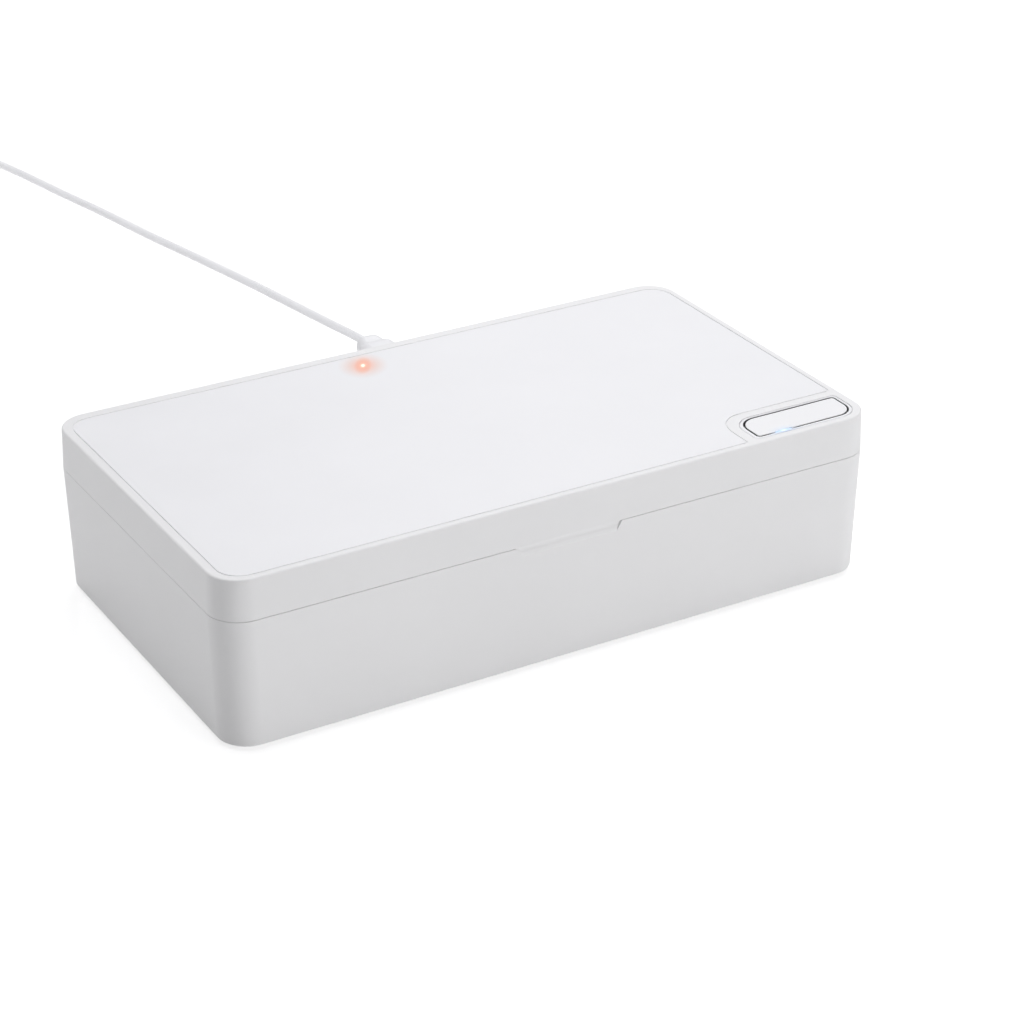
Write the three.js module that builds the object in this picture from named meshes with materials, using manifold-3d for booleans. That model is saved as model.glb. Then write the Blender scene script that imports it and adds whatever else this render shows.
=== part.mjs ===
// Box-shaped ultraviolet sterilizer with a hinged, phone-charging lid.
// Millimetres, +X right along the front, +Y to the back, +Z up, floor at z = 0.
import * as THREE from 'three';
import { mergeVertices } from 'three/addons/utils/BufferGeometryUtils.js';
import Module from 'manifold-3d';

const wasm = await Module();
wasm.setup();

// ---- driving dimensions -------------------------------------------------
const W = 220;            // width at the seam
const D = 122;            // depth at the seam
const FOOT = 1.0;         // shell bottom above the floor
const SEAM = 41.6;        // middle of the seam
const TOP = 54.5;         // lid top
const GAP = 0.15;         // half the seam gap
const R = 10.25;          // vertical corner radius
const WALL = 2.2;
const DRAFT_X = 1.1;      // base narrows this much a side at the bottom
const DRAFT_Y = 0.5;
const LID_DRAFT = 0.45;
const EDGE = 0.8;         // lid top edge rounding
const PANEL = { x0: -106.6, x1: 107.1, y0: -58.2, y1: 56.75 };   // middle of the panel groove
const PANEL_R = 7.4;
const GROOVE = 0.36;
const PLATE_T = 52.3;     // top of the lid plate under the panel
const PLATE_B = 50.6;
const HINGE_Y = D / 2 + 2.3;
const HINGE_Z = SEAM;
const BARREL = 2.1;
const HINGE_X = 62;
const BACK = HINGE_Y + BARREL;                 // furthest point of the box
const SHIFT_Y = -(BACK - D / 2) / 2;           // puts the origin at the box's bottom centre
// button, the frame's opening and the frame's outside; corner radii from the rear right corner round by the left
const BTN = { x0: 69.7, x1: 104.95, y0: -56.25, y1: -45.1, r: [0.8, 5.6, 0.8, 5.4] };
const BZI = { x0: 69.05, x1: 105.55, y0: -56.9, y1: -44.5, r: [1.3, 6.2, 1.3, 6.0] };
const BZO = { x0: 67.9, x1: 106.3, y0: -57.75, y1: -43.9, r: [1.4, 6.9, 1.7, 6.6] };
const LAMP = [-9.6, 48.6];                     // charge light
const PORT = [18.07, 37.0];                       // x, z of the power socket
const CORD_R = 1.5;

// ---- helpers ------------------------------------------------------------
const group = new THREE.Group();
const root = new THREE.Group();
root.position.set(0, SHIFT_Y, 0);
group.add(root);

function toManifold(geometry) {
  const g = geometry.index ? geometry.clone() : geometry.clone();
  g.deleteAttribute('normal');
  if (g.attributes.uv) g.deleteAttribute('uv');
  const m = mergeVertices(g, 1e-4);
  const vertProperties = new Float32Array(m.attributes.position.array);
  let tri = Uint32Array.from(m.index.array);
  const keep = [];
  for (let i = 0; i < tri.length; i += 3) {
    const [a, b, c] = [tri[i], tri[i + 1], tri[i + 2]];
    if (a !== b && b !== c && a !== c) keep.push(a, b, c);
  }
  tri = Uint32Array.from(keep);
  const make = (t) => new wasm.Manifold(new wasm.Mesh({ numProp: 3, vertProperties, triVerts: t }));
  let solid = make(tri);
  if (solid.volume() < 0) {
    const flip = new Uint32Array(tri.length);
    for (let i = 0; i < tri.length; i += 3) {
      flip[i] = tri[i]; flip[i + 1] = tri[i + 2]; flip[i + 2] = tri[i + 1];
    }
    solid = make(flip);
  }
  return solid;
}

function toGeometry(solid) {
  const mesh = solid.getMesh();
  const g = new THREE.BufferGeometry();
  const n = mesh.numProp;
  const pos = new Float32Array((mesh.vertProperties.length / n) * 3);
  for (let i = 0, j = 0; i < mesh.vertProperties.length; i += n) {
    pos[j++] = mesh.vertProperties[i];
    pos[j++] = mesh.vertProperties[i + 1];
    pos[j++] = mesh.vertProperties[i + 2];
  }
  g.setAttribute('position', new THREE.BufferAttribute(pos, 3));
  g.setIndex(new THREE.BufferAttribute(Uint32Array.from(mesh.triVerts), 1));
  g.computeVertexNormals();
  return g;
}

function outline(x0, x1, y0, y1, radii, seg) {
  const pts = [];
  const q = Array.isArray(radii) ? radii : [radii, radii, radii, radii];
  const corners = [[x1 - q[0], y1 - q[0], 0, q[0]], [x0 + q[1], y1 - q[1], 90, q[1]], [x0 + q[2], y0 + q[2], 180, q[2]], [x1 - q[3], y0 + q[3], 270, q[3]]];
  for (const [cx, cy, a0, r] of corners) {
    for (let i = 0; i <= seg; i++) {
      const a = THREE.MathUtils.degToRad(a0 + (90 * i) / seg);
      pts.push([cx + r * Math.cos(a), cy + r * Math.sin(a)]);
    }
  }
  return pts;
}

// A stack of rounded rectangles joined into one solid: each layer is {x0,x1,y0,y1,r,z}.
function loft(layers, seg = 7) {
  const rings = layers.map((l) => outline(l.x0, l.x1, l.y0, l.y1, l.r, seg));
  const shape = new THREE.Shape(rings[0].map(([x, y]) => new THREE.Vector2(x, y)));
  const n = layers.length - 1;
  const g = new THREE.ExtrudeGeometry(shape, { depth: n, steps: n, bevelEnabled: false, curveSegments: 1 });
  const p = g.attributes.position;
  for (let i = 0; i < p.count; i++) {
    const k = Math.round(p.getZ(i));
    let best = 0, bd = Infinity;
    for (let j = 0; j < rings[0].length; j++) {
      const d = (rings[0][j][0] - p.getX(i)) ** 2 + (rings[0][j][1] - p.getY(i)) ** 2;
      if (d < bd) { bd = d; best = j; }
    }
    p.setXYZ(i, rings[k][best][0], rings[k][best][1], layers[k].z);
  }
  return toManifold(g);
}

const sym = (hx, hy, r, z) => ({ x0: -hx, x1: hx, y0: -hy, y1: hy, r, z });
const inset = (o, d, z) => ({ x0: o.x0 + d, x1: o.x1 - d, y0: o.y0 + d, y1: o.y1 - d, r: Array.isArray(o.r) ? o.r.map((v) => v - d) : o.r - d, z });

function box(x0, x1, y0, y1, z0, z1) {
  const g = new THREE.BoxGeometry(x1 - x0, y1 - y0, z1 - z0);
  g.translate((x0 + x1) / 2, (y0 + y1) / 2, (z0 + z1) / 2);
  return toManifold(g);
}

function cylZ(x, y, r, z0, z1, seg = 20) {
  const g = new THREE.CylinderGeometry(r, r, z1 - z0, seg);
  g.rotateX(Math.PI / 2);
  g.translate(x, y, (z0 + z1) / 2);
  return toManifold(g);
}

function cylX(x0, x1, y, z, r, seg = 20) {
  const g = new THREE.CylinderGeometry(r, r, x1 - x0, seg);
  g.rotateZ(Math.PI / 2);
  g.translate((x0 + x1) / 2, y, z);
  return toManifold(g);
}

// A turned solid about a vertical axis; profile is [[r, z], ...], starting and ending on the axis.
function turned(x, y, profile, seg = 24) {
  const g = new THREE.LatheGeometry(profile.map(([r, z]) => new THREE.Vector2(r, z)), seg);
  g.rotateX(Math.PI / 2);
  g.translate(x, y, 0);
  return toManifold(g);
}

// Layers along Y: each layer is {w, h, r, y}, a rounded rectangle w wide (X) and h high (Z) about (cx, cz).
function loftY(cx, cz, layers, seg = 4) {
  const solid = loft(layers.map((l) => ({
    x0: -l.w / 2, x1: l.w / 2, y0: -l.h / 2, y1: l.h / 2, r: l.r, z: l.y,
  })), seg);
  // (x, y, z) -> (x, z, -y), then into place
  return solid.rotate([-90, 0, 0]).translate([cx, 0, cz]);
}

function add(name, solid, color, roughness, metalness = 0) {
  const material = new THREE.MeshStandardMaterial({ color, roughness, metalness });
  const mesh = new THREE.Mesh(toGeometry(solid), material);
  mesh.name = name;
  root.add(mesh);
  return mesh;
}

const WHITE = 0xeeeef2;
const TRIM = 0xf4f4f6;
const STEEL = 0xc4c6ca;
const BOARD = 0x1f5a3a;
const RUBBER = 0xd9d9dc;

// ---- base ---------------------------------------------------------------
let base = loft([
  sym(W / 2 - DRAFT_X - 0.65, D / 2 - DRAFT_Y - 0.65, R - 0.9, FOOT),
  sym(W / 2 - DRAFT_X - 0.2, D / 2 - DRAFT_Y - 0.2, R - 0.5, FOOT + 0.2),
  sym(W / 2 - DRAFT_X, D / 2 - DRAFT_Y, R - 0.3, FOOT + 0.8),
  sym(W / 2, D / 2, R, SEAM - GAP),
], 8);
base = base.subtract(loft([
  sym(W / 2 - WALL - 1.0, D / 2 - WALL - 0.4, R - WALL, FOOT + 2),
  sym(W / 2 - WALL, D / 2 - WALL, R - WALL, SEAM + 1),
], 6));
// thicker wall behind the finger recess
base = base.add(box(-21, 21, -59.2, -57.4, 33, SEAM - GAP));
// bosses: magnet posts, tub screw posts, board posts
for (const s of [-1, 1]) {
  base = base.add(cylZ(s * 102.8, -53.1, 2.4, FOOT + 1.5, 32.5, 14));
  base = base.add(cylZ(s * 95, 53, 3.2, FOOT + 1.5, 39.1, 14));
  base = base.subtract(cylZ(s * 95, 53, 1.35, 30, 40, 12));
}
for (const x of [-12, 48]) base = base.add(cylZ(x, 54, 2.2, FOOT + 1.5, 33.95, 12));
// finger recess in the front top edge
{
  const pts = [];
  for (const [z, d, xl, xr] of [[38.4, 0, -15.8, 16.8], [39.9, 0.52, -16.95, 17.6], [41.9, 0.6, -18.48, 18.6]]) {
    pts.push([xl, -63, z], [xr, -63, z], [xl + d, -61 + d, z], [xr, -61 + d, z]);
  }
  base = base.subtract(wasm.Manifold.hull(pts));
}
// opening for the power socket
base = base.subtract(loftY(PORT[0], PORT[1], [{ w: 10.2, h: 4.4, r: 2.1, y: 57 }, { w: 10.2, h: 4.4, r: 2.1, y: 63 }], 5));
// feet recesses
const FEET = [['foot_front_left', -92, -44], ['foot_front_right', 92, -44], ['foot_rear_left', -92, 44], ['foot_rear_right', 92, 44]];
for (const [, x, y] of FEET) base = base.subtract(cylZ(x, y, 5.3, 0, FOOT + 0.5, 20));
// hinge knuckles
for (const s of [-1, 1]) {
  const cx = s * HINGE_X;
  for (const [a, b] of [[cx - 12, cx - 5], [cx + 5, cx + 12]]) {
    base = base.add(cylX(a, b, HINGE_Y, HINGE_Z, BARREL));
    base = base.add(box(a, b, D / 2 - 0.8, HINGE_Y, HINGE_Z - BARREL, HINGE_Z - GAP));
  }
  base = base.subtract(cylX(cx - 14, cx + 14, HINGE_Y, HINGE_Z, 1.15, 14));
}
add('base_shell', base, WHITE, 0.42);

let tub = loft([
  { x0: -103.7, x1: 103.7, y0: -54.9, y1: 46.5, r: 13, z: 7.0 },
  { x0: -104.7, x1: 104.7, y0: -55.9, y1: 47.5, r: 14, z: 39.6 },
], 6);
tub = tub.add(loft([
  { x0: -107.2, x1: 107.2, y0: -57.0, y1: 58.2, r: 7.8, z: 39.4 },
  { x0: -107.2, x1: 107.2, y0: -57.0, y1: 58.2, r: 7.8, z: 40.4 },
], 6));
tub = tub.subtract(loft([
  { x0: -102.5, x1: 102.5, y0: -53.7, y1: 45.3, r: 11.8, z: 8.2 },
  { x0: -103.5, x1: 103.5, y0: -54.7, y1: 46.3, r: 12.8, z: 41.0 },
], 6));
for (const s of [-1, 1]) tub = tub.subtract(cylZ(s * 95, 53, 1.35, 38, 42, 12));
add('chamber_tub', tub, 0xd7d9dc, 0.22, 0.8);

let gasket = loft([
  { x0: -106.8, x1: 106.8, y0: -56.8, y1: 57.8, r: 7.4, z: 40.7 },
  { x0: -106.8, x1: 106.8, y0: -56.8, y1: 57.8, r: 7.4, z: 41.7 },
], 6);
gasket = gasket.subtract(loft([
  { x0: -105.2, x1: 105.2, y0: -55.3, y1: 56.2, r: 6.4, z: 40 },
  { x0: -105.2, x1: 105.2, y0: -55.3, y1: 56.2, r: 6.4, z: 42.4 },
], 6));
add('rim_gasket', gasket, RUBBER, 0.7);

for (const [name, x, y] of FEET) {
  add(name, turned(x, y, [[0, 0], [4.5, 0], [5, 0.4], [5, 1.2], [0, 1.2]], 20), RUBBER, 0.75);
}
for (const s of [-1, 1]) {
  const side = s < 0 ? 'left' : 'right';
  add('base_magnet_' + side, cylZ(s * 102.8, -53.1, 2, 32.8, 38.9, 16), STEEL, 0.3, 1);
  add('tub_screw_' + side, turned(s * 95, 53, [[0, 32], [1, 32], [1, 40.7], [2.4, 40.7], [2.4, 41.1], [1.9, 41.5], [0, 41.5]], 14), STEEL, 0.35, 1);
  add('hinge_pin_' + side, cylX(s * HINGE_X - 12.2, s * HINGE_X + 12.2, HINGE_Y, HINGE_Z, 0.95, 14), STEEL, 0.3, 1);
}

// power socket, its board and the lid sensor
let socket = loftY(PORT[0], PORT[1], [{ w: 9.3, h: 3.5, r: 1.7, y: 52.9 }, { w: 9.3, h: 3.5, r: 1.7, y: 60.6 }], 4);
socket = socket.subtract(loftY(PORT[0], PORT[1], [{ w: 8.7, h: 2.95, r: 1.42, y: 53.3 }, { w: 8.7, h: 2.95, r: 1.42, y: 61.5 }], 4));
add('usb_socket_shell', socket, STEEL, 0.3, 1);
add('usb_socket_tongue', box(PORT[0] - 3.3, PORT[0] + 3.3, 53.6, 58.8, PORT[1] - 0.35, PORT[1] + 0.35), 0x222226, 0.5);
add('power_board', box(-16, 52, 49.4, 58.2, 34.25, 35.25), BOARD, 0.5);
add('hall_sensor', box(-4, -0.6, 51.6, 54.6, 35.55, 36.8), 0x1c1c1e, 0.5);

// ---- lid ----------------------------------------------------------------
const lx = W / 2 - LID_DRAFT, ly = D / 2 - LID_DRAFT, lr = R - LID_DRAFT;
let lid = loft([
  sym(W / 2, D / 2, R, SEAM + GAP),
  sym(lx, ly, lr, TOP - EDGE),
  sym(lx - 0.06, ly - 0.06, lr - 0.06, TOP - 0.49),
  sym(lx - 0.23, ly - 0.23, lr - 0.23, TOP - 0.23),
  sym(lx - 0.49, ly - 0.49, lr - 0.49, TOP - 0.06),
  sym(lx - 0.80, ly - 0.80, lr - 0.80, TOP),
], 8);
lid = lid.subtract(loft([
  sym(W / 2 - WALL, D / 2 - WALL, R - WALL, SEAM - 1),
  sym(W / 2 - WALL, D / 2 - WALL, R - WALL, PLATE_B),
], 6));

// panel outline: a rounded rectangle with a notch for the button at the front right corner
function panelShape(o) {
  // o moves the outline out (+) or in (-)
  const x0 = PANEL.x0 - o, x1 = PANEL.x1 + o, y0 = PANEL.y0 - o, y1 = PANEL.y1 + o, r = PANEL_R + o;
  const nx = 64.3 + o;       // notch left edge
  const ny = -40.35 - o;     // notch rear edge
  const nr = 9.2 - o;        // notch inner corner
  const small = 0.8 + o * 0.5;
  const q = Math.PI / 2;
  const pts = [];
  const arc = (cx, cy, rad, a0, a1, n) => {
    for (let i = 0; i <= n; i++) {
      const a = a0 + ((a1 - a0) * i) / n;
      pts.push(new THREE.Vector2(cx + rad * Math.cos(a), cy + rad * Math.sin(a)));
    }
  };
  arc(x0 + r, y0 + r, r, 2 * q, 3 * q, 7);
  arc(nx - small, y0 + small, small, 3 * q, 4 * q, 3);
  arc(nx + nr, ny - nr, nr, 2 * q, q, 7);
  arc(x1 - small, ny + small, small, 3 * q, 4 * q, 3);
  arc(x1 - r, y1 - r, r, 0, q, 7);
  arc(x0 + r, y1 - r, r, q, 2 * q, 7);
  return new THREE.Shape(pts);
}
function panelSolid(o, z0, z1) {
  const g = new THREE.ExtrudeGeometry(panelShape(o), { depth: z1 - z0, bevelEnabled: false });
  g.translate(0, 0, z0);
  return toManifold(g);
}
lid = lid.subtract(panelSolid(GROOVE / 2, PLATE_T, TOP + 1));
lid = lid.subtract(loft([inset(BZO, -0.3, PLATE_T), inset(BZO, -0.3, TOP + 1)], 6));
// bosses inside the lid
const SCREWS = [['front_left', -96, -38], ['front_right', 96, -36], ['rear_left', -96, 40], ['rear_right', 96, 40]];
for (const [, x, y] of SCREWS) lid = lid.add(cylZ(x, y, 3, 43.5, PLATE_B + 0.5, 14));
for (const [, x, y] of SCREWS) lid = lid.subtract(cylZ(x, y, 1.35, 43, 49.5, 12));
for (const s of [-1, 1]) {
  lid = lid.add(cylZ(s * 102.8, -53.1, 2.4, 47.8, PLATE_B + 0.5, 14));
  lid = lid.add(cylZ(s * 60, 0, 4, 46.3, PLATE_B + 0.5, 16));
}
lid = lid.subtract(cylZ(87.4, -51.2, 2.1, PLATE_B - 1, PLATE_T + 1, 16));
lid = lid.subtract(cylZ(LAMP[0], LAMP[1], 1.5, PLATE_B - 1, PLATE_T + 1, 14));
for (const s of [-1, 1]) {
  const cx = s * HINGE_X;
  lid = lid.add(cylX(cx - 4.7, cx + 4.7, HINGE_Y, HINGE_Z, BARREL));
  lid = lid.add(box(cx - 4.7, cx + 4.7, D / 2 - 0.9, HINGE_Y, HINGE_Z + GAP, HINGE_Z + BARREL));
  lid = lid.subtract(cylX(cx - 6, cx + 6, HINGE_Y, HINGE_Z, 1.15, 14));
}
add('lid_shell', lid, WHITE, 0.4);

add('charging_panel', panelSolid(-GROOVE / 2, PLATE_T + 0.3, TOP)
  .subtract(cylZ(LAMP[0], LAMP[1], 1.5, PLATE_T, TOP - 0.5, 14)), TRIM, 0.45);

add('button_frame', loft([inset(BZO, 0, PLATE_T + 0.3), inset(BZO, 0, TOP - 0.25), inset(BZO, 0.2, TOP - 0.05)], 6)
  .subtract(loft([inset(BZI, 0, PLATE_T), inset(BZI, 0, TOP + 1)], 6)), TRIM, 0.35);
add('button_light_guide', box(75.8, 81.6, -56.6, -56.0, PLATE_T + 0.3, TOP - 0.3), 0x9fd4ff, 0.2);
add('charge_light_pipe', cylZ(LAMP[0], LAMP[1], 1.1, 47.8, TOP - 0.8, 14), 0xffd9c8, 0.2);
add('charge_light_board', box(LAMP[0] - 6, LAMP[0] + 6, 44, 53, 46.5, 47.5), BOARD, 0.5);

let liner = loft([
  { x0: -107.4, x1: 107.4, y0: -58.4, y1: 58.4, r: 7.8, z: 42.0 },
  { x0: -107.4, x1: 107.4, y0: -58.4, y1: 58.4, r: 7.8, z: 43.2 },
], 6);
for (const s of [-1, 1]) liner = liner.subtract(cylZ(s * 60, 0, 4.3, 41, 44, 20));
for (const [, x, y] of SCREWS) liner = liner.subtract(cylZ(x, y, 1.35, 41, 44, 12));
add('lid_liner', liner, 0xd7d9dc, 0.22, 0.8);
for (const [name, x, y] of SCREWS) {
  add('lid_screw_' + name, turned(x, y, [[0, 40.9], [1.8, 40.9], [2.3, 41.3], [2.3, 41.7], [1, 41.7], [1, 48.5], [0, 48.5]], 14), STEEL, 0.35, 1);
}
for (const s of [-1, 1]) {
  const side = s < 0 ? 'left' : 'right';
  add('uvc_window_' + side, cylZ(s * 60, 0, 4, 42.2, 43.0, 20), 0xdfe8f5, 0.05);
  add('uvc_led_' + side, box(s * 60 - 1.75, s * 60 + 1.75, -1.75, 1.75, 43.4, 44.7), 0xf2efe2, 0.4);
  add('uvc_board_' + side, cylZ(s * 60, 0, 6, 45.0, 46.0, 20), 0xe8e8ea, 0.4);
  add('lid_magnet_' + side, cylZ(s * 102.8, -53.1, 2, 43.5, 47.5, 16), STEEL, 0.3, 1);
}
{
  const ring = new THREE.LatheGeometry([[11, 48.9], [23, 48.9], [23, 50.3], [11, 50.3], [11, 48.9]].map(([r, z]) => new THREE.Vector2(r, z)), 32);
  ring.rotateX(Math.PI / 2);
  add('charging_coil', toManifold(ring), 0xb87333, 0.35, 1);
}
add('ferrite_sheet', box(-25, 25, -25, 25, 48.0, 48.6), 0x2b2b2e, 0.7);
add('charger_board', box(-30, 30, -22, 28, 45.6, 46.8), BOARD, 0.5);
add('switch_board', box(73, 99.6, -56.5, -43.5, 45.2, 46.2), BOARD, 0.5);
add('tact_switch', box(84.4, 90.4, -54.2, -48.2, 46.5, 48.9).add(cylZ(87.4, -51.2, 1.6, 48.5, 49.5, 14)), 0x1c1c1e, 0.5);
add('sensor_magnet', cylZ(-2.3, 53.1, 2, 43.5, 45.5, 16), STEEL, 0.3, 1);

// ---- button -------------------------------------------------------------
let button = loft([inset(BTN, 0, PLATE_T + 1.1), inset(BTN, 0, TOP - 0.25), inset(BTN, 0.22, TOP - 0.02)], 6);
button = button.add(cylZ(87.4, -51.2, 1.5, 50.4, PLATE_T + 1.4, 16));
button = button.subtract(box(75.5, 81.9, -58, -55.75, 52, 56));
add('power_button', button, TRIM, 0.35);

// ---- power cord ---------------------------------------------------------
let plug = loftY(PORT[0], PORT[1], [{ w: 8.25, h: 2.45, r: 1.2, y: 54.0 }, { w: 8.25, h: 2.45, r: 1.2, y: 62.6 }], 4);
plug = plug.subtract(loftY(PORT[0], PORT[1], [{ w: 7.4, h: 1.7, r: 0.8, y: 53 }, { w: 7.4, h: 1.7, r: 0.8, y: 61 }], 4));
add('usb_plug_shell', plug, STEEL, 0.3, 1);
let grip = loftY(PORT[0], PORT[1], [
  { w: 12.0, h: 6.4, r: 2.6, y: 61.4 }, { w: 12.8, h: 7.2, r: 3.0, y: 61.9 }, { w: 13.0, h: 7.4, r: 3.1, y: 63 },
  { w: 13.0, h: 7.4, r: 3.1, y: 91.0 }, { w: 12.2, h: 6.9, r: 2.9, y: 92.9 }, { w: 10.6, h: 6.2, r: 2.6, y: 93.7 }]);
grip = grip.subtract(loftY(PORT[0], PORT[1], [{ w: 8.9, h: 3.1, r: 1.5, y: 61 }, { w: 8.9, h: 3.1, r: 1.5, y: 62.9 }], 4));
add('usb_plug_grip', grip, TRIM, 0.4);
add('cord_strain_relief', loftY(PORT[0], PORT[1], [
  { w: 9.4, h: 6.0, r: 2.6, y: 94.0 }, { w: 9.5, h: 6.8, r: 3.0, y: 96.2 }, { w: 8.4, h: 6.2, r: 2.9, y: 98.6 }, { w: 5.8, h: 4.6, r: 2.1, y: 99.7 }]), TRIM, 0.45);

// The cord's free stretch: out of the strain relief, down to the floor behind, and along to the coil.
const CORD_Z = CORD_R + 0.02;
const RUN = [
  [18.07, 100.0, 37.0], [18.0, 104.5, 36.75], [17.8, 110, 36.3], [17.1, 117.5, 35.8], [15.0, 144.2, 33.9], [12.4, 179.6, 31.3],
  [9.3, 216.5, 28.3], [5.9, 255, 25.1], [2.6, 296.8, 21.9], [-0.5, 331.4, 19.0], [-3.5, 368.2, 16.0],
  [-6.2, 398, 13.1], [-8.2, 420, 10.3], [-10, 438, 7.4], [-11.7, 454, 4.7], [-13.1, 468, 2.7], [-14.2, 480, 1.75],
  [-15.1, 490, CORD_Z], [-15.8, 502, CORD_Z], [-16.2, 519, CORD_Z],
];
const COIL = { x: -16.2 - 21.2, y: 531.7, r0: 10.2, r1: 22.9, h: 6.4 };
function tube(points, r, sides, steps) {
  const s = new THREE.Shape(Array.from({ length: sides }, (_, i) => {
    const a = (2 * Math.PI * (i + 0.5)) / sides;
    return new THREE.Vector2(r * Math.cos(a), r * Math.sin(a));
  }));
  const path = new THREE.CatmullRomCurve3(points.map((p) => new THREE.Vector3(...p)), false, 'centripetal');
  return toManifold(new THREE.ExtrudeGeometry(s, { steps, extrudePath: path, bevelEnabled: false, curveSegments: 1 }));
}
add('cord_run', tube(RUN, CORD_R, 8, 56), TRIM, 0.5);
const TIE = { w: 2.5, y: COIL.y + (COIL.r0 + COIL.r1) / 2 };
{
  const { r0, r1, h } = COIL;
  const ring = new THREE.LatheGeometry([[r0, 1], [r0 + 1, 0], [r1 - 1, 0], [r1, 1], [r1, h - 1], [r1 - 1, h], [r0 + 1, h], [r0, h - 1], [r0, 1]]
    .map(([r, z]) => new THREE.Vector2(r, z)), 32);
  ring.rotateX(Math.PI / 2);
  ring.translate(COIL.x, COIL.y, 0);
  const half = (r1 - r0) / 2;
  // the tie passes under the turns, which rise a little over it
  add('cord_coil', toManifold(ring).subtract(box(COIL.x - TIE.w - 0.4, COIL.x + TIE.w + 0.4, TIE.y - half - 1, TIE.y + half + 1, -1, 1.1)), TRIM, 0.5);
  const band = (d, z0, z1, w) => box(COIL.x - w, COIL.x + w, TIE.y - half - d, TIE.y + half + d, z0, z1);
  add('cord_tie', band(1.1, 0.05, h + 1.05, TIE.w).subtract(band(0.4, 0.75, h + 0.35, TIE.w + 1)), 0xe3e3e6, 0.6);
}

// the free end: out of the coil's upper turns and into the larger plug, lying on the floor
const TAIL_X = COIL.x - 17.45;
const A_Z = 4.1;
const TAIL = [[TAIL_X, COIL.y - 16.9, 4.6], [TAIL_X, COIL.y - 21, 4.5], [TAIL_X, COIL.y - 26, 4.25], [TAIL_X, COIL.y - 30.5, A_Z]];
add('cord_tail', tube(TAIL, CORD_R, 8, 4), TRIM, 0.5);
const AY = COIL.y - 30.8;
add('usb_a_strain_relief', loftY(TAIL_X, A_Z, [
  { w: 7.4, h: 5.6, r: 2.5, y: AY - 7.6 }, { w: 5.6, h: 4.8, r: 2.2, y: AY - 0.8 }, { w: 4.6, h: 4.0, r: 1.9, y: AY }], 4), TRIM, 0.45);
let agrip = loftY(TAIL_X, A_Z, [
  { w: 15.0, h: 7.2, r: 1.6, y: AY - 31 }, { w: 15.6, h: 7.8, r: 1.9, y: AY - 30.4 }, { w: 15.6, h: 7.8, r: 1.9, y: AY - 10 },
  { w: 14.0, h: 7.0, r: 1.9, y: AY - 8.4 }, { w: 12.0, h: 6.4, r: 1.8, y: AY - 7.9 }], 4);
agrip = agrip.subtract(box(TAIL_X - 6.4, TAIL_X + 6.4, AY - 32, AY - 29, A_Z - 2.65, A_Z + 2.65));
add('usb_a_plug_grip', agrip, TRIM, 0.4);
let ashell = box(TAIL_X - 6, TAIL_X + 6, AY - 42.5, AY - 29.4, A_Z - 2.25, A_Z + 2.25);
ashell = ashell.subtract(box(TAIL_X - 5.7, TAIL_X + 5.7, AY - 44, AY - 31, A_Z - 1.95, A_Z + 1.95));
add('usb_a_plug_shell', ashell, STEEL, 0.3, 1);
add('usb_a_plug_tongue', box(TAIL_X - 5.35, TAIL_X + 5.35, AY - 41.6, AY - 31.4, A_Z - 1.6, A_Z - 0.1), 0xf5f5f5, 0.5);

export default group;
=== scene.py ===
import bpy, bmesh, math
from mathutils import Vector, Matrix


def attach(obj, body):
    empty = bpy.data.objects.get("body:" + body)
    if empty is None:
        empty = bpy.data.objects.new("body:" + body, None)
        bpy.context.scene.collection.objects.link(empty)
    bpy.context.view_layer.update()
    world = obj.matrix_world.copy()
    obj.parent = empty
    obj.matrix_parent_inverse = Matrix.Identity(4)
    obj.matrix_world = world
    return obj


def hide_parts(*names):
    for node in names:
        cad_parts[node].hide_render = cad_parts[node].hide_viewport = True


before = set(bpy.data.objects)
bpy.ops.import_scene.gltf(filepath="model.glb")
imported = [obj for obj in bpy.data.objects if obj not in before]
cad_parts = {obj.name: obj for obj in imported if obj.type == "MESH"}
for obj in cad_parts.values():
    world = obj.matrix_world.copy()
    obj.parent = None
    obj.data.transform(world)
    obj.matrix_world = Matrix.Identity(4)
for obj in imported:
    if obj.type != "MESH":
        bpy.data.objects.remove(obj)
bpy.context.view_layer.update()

# ---------------------------------------------------------------- dimensions, mm, box-centred
W, D = 220.0, 122.0
FOOT, SEAM, TOP, GAP = 1.0, 41.6, 54.5, 0.15
R, WALL = 10.25, 2.2
DRAFT_X, DRAFT_Y, LID_DRAFT, EDGE = 1.1, 0.5, 0.45, 0.6
PANEL = (-106.6, 107.1, -58.2, 56.75)
PANEL_R, GROOVE = 7.4, 0.36
SLIT = 0.072              # half the visible seam
PLATE_T, PLATE_B = 52.3, 50.6
HINGE_Y, HINGE_Z, BARREL, HINGE_X = 63.3, 41.6, 2.1, 62.0
SHIFT_Y = -2.2
BTN = (69.7, 104.95, -56.25, -45.2, (0.8, 5.6, 0.8, 5.4))
BZI = (69.05, 105.55, -56.9, -44.42, (1.3, 6.2, 1.3, 6.0))
BZO = (67.9, 106.3, -57.75, -43.9, (1.4, 6.9, 1.7, 6.6))
LAMP = (-9.6, 48.6)
BLUE = (78.7, -56.3)
PORT = (18.07, 37.0)
CORD_R = 1.5


def V(x, y, z):
    return (x / 1000.0, (y + SHIFT_Y) / 1000.0, z / 1000.0)


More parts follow.
